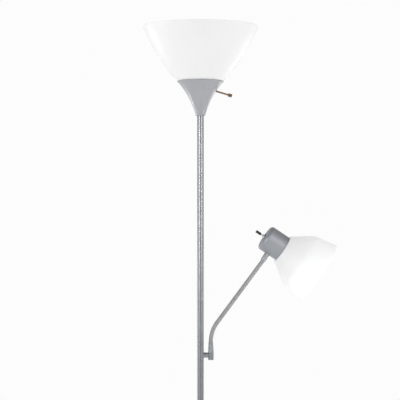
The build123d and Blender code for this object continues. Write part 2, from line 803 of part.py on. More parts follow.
stem_start = upper_switch_depth / 4 + shaft_end_gap
stem_length = upper_stem_reach + upper_knob_bore - stem_start
save(
    tube(stem_frame.offset(stem_start), upper_stem_diameter / 2, shaft_bore_radius, stem_length),
    "upper_stem",
)
with BuildPart() as upper_knob:
    with BuildSketch(stem_frame.offset(upper_stem_reach)):
        Circle(upper_knob_diameter / 2)
    extrude(amount=upper_knob_length)
    chamfer(upper_knob.edges().filter_by(GeomType.CIRCLE), knob_chamfer)
    with BuildSketch(stem_frame.offset(upper_stem_reach)):
        Circle(upper_stem_diameter / 2)
    extrude(amount=upper_knob_bore, mode=Mode.SUBTRACT)
save(upper_knob.part, "upper_knob")

save(lampholder(upper_holder_frame), "upper_holder")
save(screw_shell(upper_holder_frame), "upper_screw_shell")
save(contact_leaf(upper_holder_frame), "upper_contact")
save(bulb_cap(upper_holder_frame), "upper_bulb_cap")
save(bulb_glass(upper_holder_frame), "upper_bulb_glass")

# The bowl sinks a little into the cup and touches the inner edge of its flared rim.
cup_chord_angle = atan2(upper_cup_radius - upper_cup_foot_radius, upper_cup_height)
cup_chord = hypot(upper_cup_radius - upper_cup_foot_radius, upper_cup_height)
cup_flare_angle = cup_chord_angle + 2 * atan(2 * upper_cup_sagitta / cup_chord)
seat_radius = upper_cup_radius - cup_wall / cos(cup_flare_angle) - seat_gap
bowl_floor = cup_rim - shade_seat
bowl_top = cup_rim + upper_shade_height
bowl_lean = atan2(upper_shade_radius - seat_radius, upper_shade_height)
wall_across = shade_wall / cos(bowl_lean)
with BuildPart() as upper_shade:
    with BuildSketch(Plane.XZ):
        with BuildLine():
            Polyline((0, bowl_floor), (seat_radius - shade_seat, bowl_floor), (seat_radius, cup_rim))
            SagittaArc((seat_radius, cup_rim), (upper_shade_radius, bowl_top), -upper_shade_sagitta)
            Line((upper_shade_radius, bowl_top), (upper_shade_radius - wall_across, bowl_top))
            SagittaArc(
                (upper_shade_radius - wall_across, bowl_top),
                (seat_radius - wall_across, bowl_floor + shade_wall),
                upper_shade_sagitta,
            )
            Polyline(
                (seat_radius - wall_across, bowl_floor + shade_wall),
                (0, bowl_floor + shade_wall),
                (0, bowl_floor),
            )
        make_face()
    revolve(axis=Axis.Z)
    with BuildSketch(Plane.XY.offset(bowl_floor)):
        Circle(holder_radius + wall_gap)
    extrude(amount=shade_wall, mode=Mode.SUBTRACT)
save(upper_shade.part, "upper_shade")
save(shade_ring(Plane.XY.offset(bowl_floor + shade_wall)), "upper_shade_ring")
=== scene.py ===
import json
import math

import bmesh
import bpy
from mathutils import Matrix, Vector


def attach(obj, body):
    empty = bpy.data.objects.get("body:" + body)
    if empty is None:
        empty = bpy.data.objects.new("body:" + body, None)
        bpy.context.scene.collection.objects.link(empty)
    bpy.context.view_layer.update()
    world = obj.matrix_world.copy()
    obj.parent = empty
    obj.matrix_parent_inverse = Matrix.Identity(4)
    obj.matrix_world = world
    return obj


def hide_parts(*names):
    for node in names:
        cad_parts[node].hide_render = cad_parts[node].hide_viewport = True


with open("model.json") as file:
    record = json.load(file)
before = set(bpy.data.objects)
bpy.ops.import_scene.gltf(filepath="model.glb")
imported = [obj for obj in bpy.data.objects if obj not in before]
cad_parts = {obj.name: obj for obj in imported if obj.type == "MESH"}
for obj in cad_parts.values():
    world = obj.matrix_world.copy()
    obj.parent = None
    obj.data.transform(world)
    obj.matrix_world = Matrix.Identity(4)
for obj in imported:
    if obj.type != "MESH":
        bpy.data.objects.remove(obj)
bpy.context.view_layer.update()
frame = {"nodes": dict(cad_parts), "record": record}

# Torchiere floor lamp with a reading light on a gooseneck.
# Sizes in the pieces' dictionaries are millimetres. Meshes end up in metres, in the lamp's own frame.
mm = 0.001


# places and turned shapes

def placeAt(origin, along):  # a turned piece's frame: Z along its axis, X along the lamp's Y
    z = Vector(along).normalized()
    x = Vector((0, 1, 0))
    turn = Matrix((x, z.cross(x), z)).transposed().to_4x4()
    turn.translation = Vector(origin)
    return turn


def softened(corners, closed=False, steps=4):  # corners are (radius, height) or (radius, height, rounding)
    points = []
    count = len(corners)
    for index, corner in enumerate(corners):
        here = Vector(corner[:2])
        rounding = corner[2] if len(corner) > 2 else 0
        isEnd = not closed and index in (0, count - 1)
        if rounding == 0 or isEnd:
            points.append(tuple(here))
            continue
        back = Vector(corners[index - 1][:2]) - here
        ahead = Vector(corners[(index + 1) % count][:2]) - here
        half = back.angle(ahead) / 2
        reach = min(rounding / math.tan(half), 0.49 * back.length, 0.49 * ahead.length)
        back.normalize()
        ahead.normalize()
        radius = reach * math.tan(half)
        middle = here + (back + ahead).normalized() * (radius / math.sin(half))
        start = here + back * reach - middle
        finish = here + ahead * reach - middle
        sweep = math.atan2(start.x * finish.y - start.y * finish.x, start.dot(finish))
        first = math.atan2(start.y, start.x)
        for step in range(steps + 1):
            angle = first + sweep * step / steps
            points.append((middle.x + radius * math.cos(angle), middle.y + radius * math.sin(angle)))
    return points


def bowed(start, finish, sagitta, steps):  # points on a shallow arc, bulging to the right of its run
    start, finish = Vector(start), Vector(finish)
    run = finish - start
    side = Vector((run.y, -run.x)).normalized()
    return [
        tuple(start + run * t + side * (4 * sagitta * t * (1 - t)))
        for t in (step / steps for step in range(steps + 1))
    ]


def inset(outline, wall):  # the same line moved to the left of its run by the wall
    points = [Vector(point) for point in outline]
    moved = []
    for index, point in enumerate(points):
        run = points[min(index + 1, len(points) - 1)] - points[max(index - 1, 0)]
        side = Vector((-run.y, run.x)).normalized()
        moved.append((max(point.x + side.x * wall, 0), point.y + side.y * wall))
    return moved


def walled(outline, wall, lipSteps=4):  # a closed profile: the outside, a rounded lip, the inside
    inner = inset(outline, wall)
    outer, inward = Vector(outline[-1]), Vector(inner[-1])
    middle, arm = (outer + inward) / 2, (outer - inward) / 2
    lip = []
    for step in range(1, lipSteps):
        angle = math.pi * step / lipSteps
        c, s = math.cos(angle), math.sin(angle)
        lip.append((middle.x + arm.x * c - arm.y * s, middle.y + arm.x * s + arm.y * c))
    return list(outline) + lip + inner[::-1]


def meshObject(name, shape):
    mesh = bpy.data.meshes.new(name)
    shape.to_mesh(mesh)
    shape.free()
    made = bpy.data.objects.new(name, mesh)
    bpy.context.scene.collection.objects.link(made)
    return made


def turned(name, profile, facets=96, closed=True):  # profile runs up the outside and down the inside
    shape = bmesh.new()
    rings = []
    for radius, height in profile:
        if radius < 1e-6:
            rings.append([shape.verts.new((0, 0, height))])
            continue
        angles = (2 * math.pi * facet / facets for facet in range(facets))
        rings.append([shape.verts.new((radius * math.cos(a), radius * math.sin(a), height)) for a in angles])
    following = rings[1:] + rings[:1] if closed else rings[1:]
    for lower, upper in zip(rings, following):
        for facet in range(facets):
            beyond = (facet + 1) % facets
            corners = []
            for ring, at in ((lower, facet), (lower, beyond), (upper, beyond), (upper, facet)):
                corner = ring[at % len(ring)]
                if corner not in corners:
                    corners.append(corner)
            if len(corners) > 2:
                shape.faces.new(corners)
    return meshObject(name, shape)


def smoothed(piece, sharpAngle=32):
    mesh = piece.data
    mesh.polygons.foreach_set("use_smooth", [True] * len(mesh.polygons))
    mesh.set_sharp_from_angle(angle=math.radians(sharpAngle))


def settle(piece, place, body, nodes, finish, sharpAngle=32):
    smoothed(piece, sharpAngle)
    piece.data.transform(Matrix.Scale(mm, 4) @ place)
    piece.data.materials.clear()
    piece.data.materials.append(finish)
    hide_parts(*nodes)
    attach(piece, body)


# geometry node trees, and numbers that run through any tree

class Tree:  # a node tree with one way to add any node
    def __init__(self, tree):
        self.tree = tree

    def add(self, kind, settings=None, **values):
        node = self.tree.nodes.new(kind)
        for key, value in (settings or {}).items():
            setattr(node, key, value)
        for key, value in values.items():
            name = key.replace("_", " ")
            matches = [s for s in node.inputs if s.name == name and s.enabled]
            target = node.inputs[int(key[1:])] if key[0] == "i" and key[1:].isdigit() else matches[0]
            self.feed(target, value)
        return node

    def feed(self, target, value):
        if isinstance(value, Wire):
            self.tree.links.new(value.socket, target)
        elif isinstance(value, bpy.types.NodeSocket):
            self.tree.links.new(value, target)
        else:
            target.default_value = value


class Wire:  # a number on its way through a tree, with sums written as Python
    def __init__(self, owner, socket):
        self.owner = owner
        self.socket = socket

    def maths(self, operation, *others, clamp=False):
        node = self.owner.add("ShaderNodeMath", {"operation": operation, "use_clamp": clamp})
        for target, value in zip(node.inputs, others):
            self.owner.feed(target, value)
        return Wire(self.owner, node.outputs[0])

    def __add__(self, other): return self.maths("ADD", self, other)
    def __radd__(self, other): return self.maths("ADD", other, self)
    def __sub__(self, other): return self.maths("SUBTRACT", self, other)
    def __rsub__(self, other): return self.maths("SUBTRACT", other, self)
    def __mul__(self, other): return self.maths("MULTIPLY", self, other)
    def __rmul__(self, other): return self.maths("MULTIPLY", other, self)
    def __truediv__(self, other): return self.maths("DIVIDE", self, other)
    def __rtruediv__(self, other): return self.maths("DIVIDE", other, self)
    def __pow__(self, other): return self.maths("POWER", self, other)

    def cosine(self): return self.maths("COSINE", self)
    def fraction(self): return self.maths("FRACT", self)
    def size(self): return self.maths("ABSOLUTE", self)
    def root(self): return self.maths("SQRT", self)
    def limited(self): return self.maths("ADD", self, 0.0, clamp=True)


def startTree(name, inputs):
    group = bpy.data.node_groups.new(name, "GeometryNodeTree")
    face = group.interface
    face.new_socket("Geometry", in_out="INPUT", socket_type="NodeSocketGeometry")
    for label, kind, value in inputs:
        made = face.new_socket(label, in_out="INPUT", socket_type=kind)
        if value is not None:
            made.default_value = value
    face.new_socket("Geometry", in_out="OUTPUT", socket_type="NodeSocketGeometry")
    tree = Tree(group)
    entry = group.nodes.new("NodeGroupInput")
    exitNode = group.nodes.new("NodeGroupOutput")
    return group, tree, entry, exitNode


def endTree(tree, entry, exitNode, geometry):
    real = tree.add("GeometryNodeRealizeInstances", None, Geometry=geometry)
    painted = tree.add("GeometryNodeSetMaterial", None, Geometry=real.outputs[0],
                       Material=entry.outputs["Material"])
    tree.feed(exitNode.inputs[0], painted.outputs[0])


def makeRibTree():  # a tube on a path, with a wire wound round it
    group, tree, entry, exitNode = startTree("ribbedTube", [
        ("Root Radius", "NodeSocketFloat", 4.3),
        ("Crest Radius", "NodeSocketFloat", 5.2),
        ("Pitch", "NodeSocketFloat", 2.9),
        ("Sections", "NodeSocketInt", 64),
        ("Facets", "NodeSocketInt", 36),
        ("Wind", "NodeSocketFloat", 1.0),
        ("Material", "NodeSocketMaterial", None),
    ])
    path = tree.add("GeometryNodeResampleCurve", None, Curve=entry.outputs["Geometry"],
                    Count=entry.outputs["Sections"])
    spline = tree.add("GeometryNodeSplineParameter")
    along = tree.add("GeometryNodeCaptureAttribute")
    along.capture_items.new("FLOAT", "Along")
    along.capture_items.new("VECTOR", "Middle")
    here = tree.add("GeometryNodeInputPosition")
    tree.feed(along.inputs[0], path.outputs[0])
    tree.feed(along.inputs[1], spline.outputs["Length"])
    tree.feed(along.inputs[2], here.outputs[0])
    hoop = tree.add("GeometryNodeCurvePrimitiveCircle", {"mode": "RADIUS"}, Resolution=entry.outputs["Facets"])
    hoop.inputs["Radius"].default_value = 1.0
    around = tree.add("GeometryNodeCaptureAttribute")
    around.capture_items.new("FLOAT", "Around")
    hoopSpline = tree.add("GeometryNodeSplineParameter")
    tree.feed(around.inputs[0], hoop.outputs[0])
    tree.feed(around.inputs[1], hoopSpline.outputs["Factor"])
    tube = tree.add("GeometryNodeCurveToMesh", None, Curve=along.outputs[0], Profile_Curve=around.outputs[0],
                    Fill_Caps=True)
    turn = Wire(tree, along.outputs[1]) / Wire(tree, entry.outputs["Pitch"])
    phase = (turn + Wire(tree, around.outputs[1]) * Wire(tree, entry.outputs["Wind"]) + 64.0).fraction()
    fromCrest = (phase * 2.0 - 1.0).size()
    ridge = (1.0 - fromCrest ** 2.2).root()
    root = Wire(tree, entry.outputs["Root Radius"])
    radius = root + (Wire(tree, entry.outputs["Crest Radius"]) - root) * ridge
    now = tree.add("GeometryNodeInputPosition")
    out = tree.add("ShaderNodeVectorMath", {"operation": "SUBTRACT"}, i0=now.outputs[0], i1=along.outputs[2])
    unit = tree.add("ShaderNodeVectorMath", {"operation": "NORMALIZE"}, i0=out.outputs[0])
    arm = tree.add("ShaderNodeVectorMath", {"operation": "SCALE"}, i0=unit.outputs[0])
    tree.feed(arm.inputs["Scale"], radius)
    place = tree.add("ShaderNodeVectorMath", {"operation": "ADD"}, i0=along.outputs[2], i1=arm.outputs[0])
    moved = tree.add("GeometryNodeSetPosition", None, Geometry=tube.outputs[0], Position=place.outputs[0])
    endTree(tree, entry, exitNode, moved.outputs[0])
    return group


def makeFluteTree():  # flutes cut round a turned piece, between two heights
    group, tree, entry, exitNode = startTree("flutedGrip", [
        ("Count", "NodeSocketInt", 20),
        ("Depth", "NodeSocketFloat", 0.3),
        ("Low", "NodeSocketFloat", 0.0),
        ("High", "NodeSocketFloat", 1.0),
        ("Fade", "NodeSocketFloat", 0.5),
        ("Least Radius", "NodeSocketFloat", 1.0),
        ("Material", "NodeSocketMaterial", None),
    ])
    here = tree.add("GeometryNodeInputPosition")
    parts = tree.add("ShaderNodeSeparateXYZ", None, Vector=here.outputs[0])
    x, y, z = (Wire(tree, parts.outputs[axis]) for axis in range(3))
    angle = x.maths("ARCTAN2", y, x)
    wave = 0.5 - (angle * Wire(tree, entry.outputs["Count"])).cosine() * 0.5
    reach = (x * x + y * y).root()
    fade = Wire(tree, entry.outputs["Fade"])
    rise = ((z - Wire(tree, entry.outputs["Low"])) / fade).limited()
    fall = ((Wire(tree, entry.outputs["High"]) - z) / fade).limited()
    outside = x.maths("GREATER_THAN", reach, Wire(tree, entry.outputs["Least Radius"]))
    cut = wave ** 1.5 * rise * fall * outside * Wire(tree, entry.outputs["Depth"])
    scale = 1.0 - cut / x.maths("MAXIMUM", reach, 0.001)
    place = tree.add("ShaderNodeCombineXYZ", None, X=x * scale, Y=y * scale, Z=z)
    moved = tree.add("GeometryNodeSetPosition", None, Geometry=entry.outputs["Geometry"],
                     Position=place.outputs[0])
    endTree(tree, entry, exitNode, moved.outputs[0])
    return group


ribTree = makeRibTree()
fluteTree = makeFluteTree()


def grown(source, group, values, finish):  # runs a tree on an object and keeps the plain mesh
    modifier = source.modifiers.new(group.name, "NODES")
    modifier.node_group = group
    byName = {item.name: item.identifier for item in group.interface.items_tree
              if item.item_type == "SOCKET" and item.in_out == "INPUT"}
    for name, value in dict(values, Material=finish).items():
        modifier[byName[name]] = value
    bpy.context.view_layer.update()
    graph = bpy.context.evaluated_depsgraph_get()
    mesh = bpy.data.meshes.new_from_object(source.evaluated_get(graph), depsgraph=graph)
    name = source.name
    source.modifiers.remove(modifier)
    bpy.data.objects.remove(source)
    mesh.name = name
    made = bpy.data.objects.new(name, mesh)
    bpy.context.scene.collection.objects.link(made)
    return made


def pathObject(name, points):
    line = bpy.data.curves.new(name, "CURVE")
    line.dimensions = "3D"
    spline = line.splines.new("POLY")
    spline.points.add(len(points) - 1)
    for target, point in zip(spline.points, points):
        target.co = (*point, 1)
    made = bpy.data.objects.new(name, line)
    bpy.context.scene.collection.objects.link(made)
    return made


def cutAway(piece, tool):  # takes the tool's shape out of the piece
    modifier = piece.modifiers.new("cut", "BOOLEAN")
    modifier.operation = "DIFFERENCE"
    modifier.solver = "EXACT"
    modifier.object = tool
    bpy.context.view_layer.update()
    graph = bpy.context.evaluated_depsgraph_get()
    mesh = bpy.data.meshes.new_from_object(piece.evaluated_get(graph), depsgraph=graph)
    piece.modifiers.remove(modifier)
    piece.data = mesh
    bpy.data.objects.remove(tool)


def joined(name, *pieces):  # one mesh of several
    shape = bmesh.new()
    for piece in pieces:
        shape.from_mesh(piece.data)
        bpy.data.objects.remove(piece)
    return meshObject(name, shape)


print("trees and tools ready")


# finishes

class Finish(Tree):
    def __init__(self, name, **constants):
        self.material = bpy.data.materials.new(name)
        self.material.use_nodes = True
        super().__init__(self.material.node_tree)
        self.shader = self.tree.nodes["Principled BSDF"]
        for key, value in constants.items():
            self.shader.inputs[key.replace("_", " ")].default_value = value
        self.where = self.add("ShaderNodeTexCoord").outputs["Object"]

    def noise(self, scale, detail=2.0, roughness=0.5, stretch=None):
        where = self.where
        if stretch:
            where = self.add("ShaderNodeMapping", None, Vector=where, Scale=stretch).outputs[0]
        node = self.add("ShaderNodeTexNoise", None, Vector=where, Scale=scale, Detail=detail, Roughness=roughness)
        return Wire(self, node.outputs[0])

    def between(self, factor, low, high):  # a colour between two, by a number
        node = self.add("ShaderNodeMix", {"data_type": "RGBA"})
        self.feed(node.inputs[0], factor)
        self.feed(node.inputs[6], low)
        self.feed(node.inputs[7], high)
        return node.outputs[2]

    def ramp(self, factor, low, high):  # stretches the middle of a noise out to 0 and 1
        node = self.add("ShaderNodeMapRange", {"clamp": True}, Value=factor)
        node.inputs[1].default_value = low
        node.inputs[2].default_value = high
        return Wire(self, node.outputs[0])

    def bump(self, height, strength, distance):
        node = self.add("ShaderNodeBump", None, Height=height, Strength=strength, Distance=distance)
        self.feed(self.shader.inputs["Normal"], node.outputs[0])

    def put(self, **values):
        for key, value in values.items():
            self.feed(self.shader.inputs[key.replace("_", " ")], value)


def shade(colour, factor):
    return (colour[0] * factor, colour[1] * factor, colour[2] * factor, 1)


def metalPaint(name, colour, metallic, roughness, fleck):  # silver powder coat: flakes, orange peel, dust
    finish = Finish(name, Metallic=metallic)
    flakes = finish.noise(1800, 1.0)
    cloud = finish.ramp(finish.noise(9, 3.0), 0.3, 0.7)
    peel = finish.noise(420, 2.0)
    mixed = finish.ramp(flakes * fleck + cloud * (1 - fleck), 0.25, 0.75)
    finish.put(Base_Color=finish.between(mixed, shade(colour, 0.94), shade(colour, 1.05)))
    finish.put(Roughness=finish.ramp(peel, 0.2, 0.8) * 0.08 + cloud * 0.05 + (roughness - 0.06))
    finish.bump(peel * 0.7 + flakes * 0.3, 0.1, 0.00006)
    return finish.material


def platedMetal(name, colour, roughness, streak):  # plated steel, with fine turning marks across its axis
    finish = Finish(name, Metallic=1.0)
    marks = finish.noise(160, 2.0, stretch=streak)
    tarnish = finish.ramp(finish.noise(60, 4.0), 0.35, 0.75)
    finish.put(Base_Color=finish.between(tarnish, shade(colour, 1.05), shade(colour, 0.82)))
    finish.put(Roughness=marks * 0.16 + tarnish * 0.1 + (roughness - 0.1))
    finish.bump(marks, 0.12, 0.0001)
    return finish.material


def shadePlastic(name):  # translucent white plastic, blown, with faint flow marks
    finish = Finish(name, Metallic=0.0, Subsurface_Weight=0.25, Subsurface_Scale=0.02, IOR=1.49)
    finish.shader.inputs["Subsurface Radius"].default_value = (1.0, 0.98, 0.95)
    cloud = finish.ramp(finish.noise(14, 2.0), 0.3, 0.7)
    dust = finish.ramp(finish.noise(900, 1.0), 0.55, 0.8)
    tint = finish.between(cloud, (0.92, 0.922, 0.93, 1), (0.95, 0.948, 0.945, 1))
    finish.put(Base_Color=finish.between(dust * 0.35, tint, (0.87, 0.87, 0.87, 1)))
    finish.put(Roughness=cloud * 0.06 + dust * 0.1 + 0.32)
    finish.bump(finish.noise(45, 2.0), 0.08, 0.0004)
    return finish.material


def moulded(name, colour, roughness, grain):  # moulded plastic with a fine grain
    finish = Finish(name, Metallic=0.0)
    speck = finish.noise(grain, 2.0)
    cloud = finish.ramp(finish.noise(40, 3.0), 0.3, 0.7)
    finish.put(Base_Color=finish.between(cloud, shade(colour, 0.85), shade(colour, 1.2)))
    finish.put(Roughness=speck * 0.2 + cloud * 0.08 + (roughness - 0.14))
    finish.bump(speck, 0.2, 0.0001)
    return finish.material


def frostedGlass(name):
    finish = Finish(name, Metallic=0.0, Coat_Weight=0.5, Coat_Roughness=0.06, IOR=1.5)
    powder = finish.noise(700, 2.0)
    cloud = finish.ramp(finish.noise(30, 2.0), 0.3, 0.7)
    finish.put(Base_Color=finish.between(cloud, (0.88, 0.88, 0.87, 1), (0.93, 0.93, 0.92, 1)))
    finish.put(Roughness=powder * 0.12 + 0.3)
    finish.bump(powder, 0.05, 0.00005)
    return finish.material


def castCement(name):
    finish = Finish(name, Metallic=0.0)
    sand = finish.noise(600, 4.0, 0.7)
    cloud = finish.ramp(finish.noise(25, 4.0), 0.3, 0.7)
    pits = finish.ramp(finish.noise(180, 1.0), 0.62, 0.72)
    plain = finish.between(cloud * 0.6 + sand * 0.4, (0.36, 0.35, 0.33, 1), (0.56, 0.55, 0.52, 1))
    finish.put(Base_Color=finish.between(pits, plain, (0.22, 0.21, 0.2, 1)))
    finish.put(Roughness=sand * 0.1 + 0.85)
    finish.bump(sand - pits * 0.8, 0.5, 0.0008)
    return finish.material


def feltCloth(name):
    finish = Finish(name, Metallic=0.0, Sheen_Weight=0.4, Sheen_Roughness=0.6)
    fibres = finish.noise(1400, 3.0, 0.7, stretch=(1, 0.3, 1))
    crossing = finish.noise(1400, 3.0, 0.7, stretch=(0.3, 1, 1))
    weave = fibres * 0.5 + crossing * 0.5
    finish.put(Base_Color=finish.between(weave, (0.02, 0.02, 0.022, 1), (0.13, 0.13, 0.135, 1)))
    finish.put(Roughness=fibres * 0.1 + 0.88)
    finish.bump(fibres + crossing, 0.6, 0.0006)
    return finish.material


silverPaint = metalPaint("silverPaint", (0.44, 0.45, 0.475), 0.8, 0.33, 0.3)
# darker copy of the silver paint for the reading light's cup: its darker colour is painted shade, its higher
# roughness is its own
shadedHeadPaint = metalPaint("shadedHeadPaint", (0.38, 0.395, 0.425), 0.8, 0.5, 0.3)
# darker copy of the silver paint for the pole, collar and fitting: its darker colour is painted shade, its
# metallic level and lower roughness are its own
shadedPolePaint = metalPaint("shadedPolePaint", (0.33, 0.338, 0.357), 0.85, 0.28, 0.3)
hoseMetal = metalPaint("hoseMetal", (0.42, 0.42, 0.425), 0.7, 0.5, 0.2)
zincPlate = platedMetal("zincPlate", (0.62, 0.62, 0.6), 0.35, (1, 1, 6))
nickelPlate = platedMetal("nickelPlate", (0.72, 0.71, 0.69), 0.22, (1, 1, 6))
bronzePlate = platedMetal("bronzePlate", (0.30, 0.20, 0.13), 0.34, (6, 1, 1))
brassSheet = platedMetal("brassSheet", (0.80, 0.62, 0.30), 0.28, (1, 1, 6))
capMetal = platedMetal("capMetal", (0.75, 0.75, 0.74), 0.3, (1, 1, 6))
whiteShade = shadePlastic("whiteShade")
blackKnob = moulded("blackKnob", (0.022, 0.021, 0.022), 0.35, 900)
phenolic = moulded("phenolic", (0.045, 0.038, 0.034), 0.42, 700)
blackBushing = moulded("blackBushing", (0.03, 0.03, 0.032), 0.5, 1200)
wireCover = moulded("wireCover", (0.72, 0.72, 0.70), 0.5, 900)
bulbGlass = frostedGlass("bulbGlass")
cement = castCement("cement")
felt = feltCloth("felt")

finishOf = {
    "satin_silver": silverPaint,
    "satin_gooseneck": hoseMetal,
    "zinc": zincPlate,
    "nickel": nickelPlate,
    "bronze": bronzePlate,
    "brass": brassSheet,
    "white_shade": whiteShade,
    "black_plastic": blackBushing,
    "holder_plastic": phenolic,
    "frosted_glass": bulbGlass,
    "bulb_metal": capMetal,
    "cement": cement,
    "felt": felt,
    "insulation": wireCover,
}
for part in frame["record"]["subparts"]:
    mesh = frame["nodes"][part["node"]].data
    mesh.materials.clear()
    mesh.materials.append(finishOf[part["material_slot"]])
print("finishes ready")


# the base: spun cover, felt pad and the cord's bushing

base = {
    "radius": 127.0,
    "height": 30.0,
    "rimHeight": 14.0,
    "edgeRounding": 5.0,
    "edgeTuck": 0.4,
    "sheet": 1.2,
    "floorGap": 1.0,
    "landRadius": 16.0,
    "landBlend": 3.0,
    "landSag": 0.45,
    "boreRadius": 5.0,
    "cordHoleRadius": 3.5,
    "cordHoleHeight": 5.5,
    "cordHoleReach": (-6.0, 8.0),
    "padRadius": 124.8,
    "padThickness": 2.0,
    "bushingFlange": 4.5,
    "bushingBore": 2.5,
    "bushingHead": 1.5,
    "bushingDepth": 3.9,
}
upright = placeAt((0, 0, 0), (0, 0, 1))
coverOutline = softened([
    (base["radius"] - base["edgeTuck"], base["floorGap"]),
    (base["radius"], base["floorGap"] + base["sheet"]),
    (base["radius"], base["rimHeight"], base["edgeRounding"]),
    (base["landRadius"] + base["landBlend"], base["height"] - base["landSag"], 6),
    (base["landRadius"] - base["landBlend"], base["height"], 3),
    (base["boreRadius"], base["height"]),
], steps=8)
baseCover = turned("baseCover", coverOutline + inset(coverOutline, base["sheet"])[::-1], facets=160)
holeStart, holeEnd = (reach - base["radius"] for reach in base["cordHoleReach"])
cordHole = turned("cordHole", [(0, holeStart), (base["cordHoleRadius"], holeStart),
                               (base["cordHoleRadius"], holeEnd), (0, holeEnd)], facets=32, closed=False)
cordHole.data.transform(placeAt((0, 0, base["cordHoleHeight"]), (1, 0, 0)))
cutAway(baseCover, cordHole)
settle(baseCover, Matrix.Identity(4), "stand", ["base_cover"], silverPaint)

pad = softened([(0, 0), (base["padRadius"], 0, 0.7), (base["padRadius"], base["padThickness"], 0.4),
                (0, base["padThickness"])], steps=4)
settle(turned("basePad", pad, facets=120, closed=False), upright, "stand", ["base_pad"], felt)

snug = base["cordHoleRadius"] - 0.05
bushing = softened([
    (base["bushingBore"], 0, 0.5), (base["bushingFlange"], 0, 0.6),
    (base["bushingFlange"], base["bushingHead"], 0.3), (snug, base["bushingHead"]),
    (snug, base["bushingDepth"], 0.4), (base["bushingBore"], base["bushingDepth"], 0.3),
], closed=True, steps=4)
bushingPlace = placeAt((-base["radius"] - base["bushingHead"], 0, base["cordHoleHeight"]), (1, 0, 0))
settle(turned("cordBushing", bushing, facets=40), bushingPlace, "stand", ["cord_bushing"],
       blackBushing)
print("base ready")


# the pole: four tubes, end to end

pole = {
    "radius": 8.0,
    "wall": 0.8,
    "endRounding": 0.5,
    "endBand": 1.5,
    "seams": [30.0, 457.0, 884.0, 1311.0, 1584.0],
    "names": ["lower_pole", "middle_pole", "arm_pole", "upper_pole"],
}
for name, foot, head in zip(pole["names"], pole["seams"], pole["seams"][1:]):
    outside, inside, ends = pole["radius"], pole["radius"] - pole["wall"], pole["endRounding"]
    band = pole["endBand"]  # keeps the shading of the long wall straight up to its rounded ends
    profile = softened([
        (inside, foot, 0.15), (outside, foot, ends), (outside, foot + band),
        (outside, head - band), (outside, head, ends), (inside, head, 0.15),
    ], closed=True, steps=3)
    settle(turned(name.replace("_pole", "Pole"), profile, facets=64), upright, "stand", [name],
           shadedPolePaint)
print("pole ready")


# the arm: a collar on the pole and the fitting that holds the gooseneck

arm = {
    "height": 1008.0,
    "reach": 25.2,
    "collarRadius": 6.4,
    "collarBore": 4.0,
    "collarStart": 6.6,
    "collarEnd": 16.0,
    "collarStep": 0.5,
    "footHeight": 996.0,
    "topHeight": 1040.0,
    "footRadius": 7.0,
    "topRadius": 5.65,
    "taperHeight": 1014.4,
    "boreRadius": 4.3,
}
armPlace = placeAt((0, 0, arm["height"]), (1, 0, 0))
collarTip = arm["collarRadius"] - arm["collarStep"]
collar = softened([
    (arm["collarBore"], arm["collarStart"]), (arm["collarRadius"], arm["collarStart"]),
    (arm["collarRadius"], arm["collarEnd"] - 0.8, 0.4), (collarTip, arm["collarEnd"] - 0.3, 0.3),
    (collarTip, arm["collarEnd"] + 2), (arm["collarBore"], arm["collarEnd"] + 2),
], closed=True, steps=3)
armCollar = turned("armCollar", collar, facets=56)
for vertex in armCollar.data.vertices:  # the inner end follows the round pole, a hair inside it
    if vertex.co.z < arm["collarStart"] + 0.4:
        across = min(vertex.co.x ** 2, pole["radius"] ** 2 - 1)
        vertex.co.z = math.sqrt(pole["radius"] ** 2 - across) - 0.15
settle(armCollar, armPlace, "stand", ["arm_collar"], shadedPolePaint)

fittingPlace = placeAt((arm["reach"], 0, 0), (0, 0, 1))
fitting = softened([
    (0, arm["footHeight"]), (arm["footRadius"] - 1.4, arm["footHeight"], 0.4),
    (arm["footRadius"], arm["footHeight"] + 1.4, 0.5), (arm["footRadius"], arm["taperHeight"], 6),
    (arm["topRadius"], arm["topHeight"] - 3, 8), (arm["topRadius"] - 0.05, arm["topHeight"], 0.45),
    (arm["boreRadius"] + 0.4, arm["topHeight"], 0.3), (arm["boreRadius"] + 0.2, arm["topHeight"] - 5),
    (0, arm["topHeight"] - 5),
], steps=5)
settle(turned("armFitting", fitting, facets=64, closed=False), fittingPlace, "stand", ["arm_fitting"],
       shadedPolePaint)
print("arm ready")


# the gooseneck: a curved foot, a straight run and a slight turn back at the tip

gooseneck = {
    "start": (25.2, 1040.0),
    "bendRadius": 77.0,
    "bendAngle": 36.8,
    "straight": 180.0,
    "tipRadius": 100.0,
    "headTilt": 33.2,
    "rootRadius": 4.3,
    "crestRadius": 5.2,
    "links": 10,
    "ribsPerLink": 8,
    "stepsPerRib": 8,
    "facets": 36,
    "knuckleGap": 0.05,
    "knuckleSteps": 16,
}


def neckLength():
    bend = math.radians(gooseneck["bendAngle"])
    back = math.radians(gooseneck["bendAngle"] - gooseneck["headTilt"])
    return gooseneck["bendRadius"] * bend + gooseneck["straight"] + gooseneck["tipRadius"] * back


def neckPoint(distance):  # the point that far along the middle line, and the line's angle there from upright
    x, z = gooseneck["start"]
    bend = math.radians(gooseneck["bendAngle"])
    radius = gooseneck["bendRadius"]
    part = min(distance, radius * bend)
    angle = part / radius
    x += radius * (1 - math.cos(angle))
    z += radius * math.sin(angle)
    distance -= part
    part = min(distance, gooseneck["straight"])
    x += part * math.sin(angle)
    z += part * math.cos(angle)
    distance -= part
    if distance > 0:
        radius = gooseneck["tipRadius"]
        newAngle = angle - distance / radius
        x += radius * (math.cos(newAngle) - math.cos(angle))
        z += radius * (math.sin(angle) - math.sin(newAngle))
        angle = newAngle
    return Vector((x, 0, z)), angle


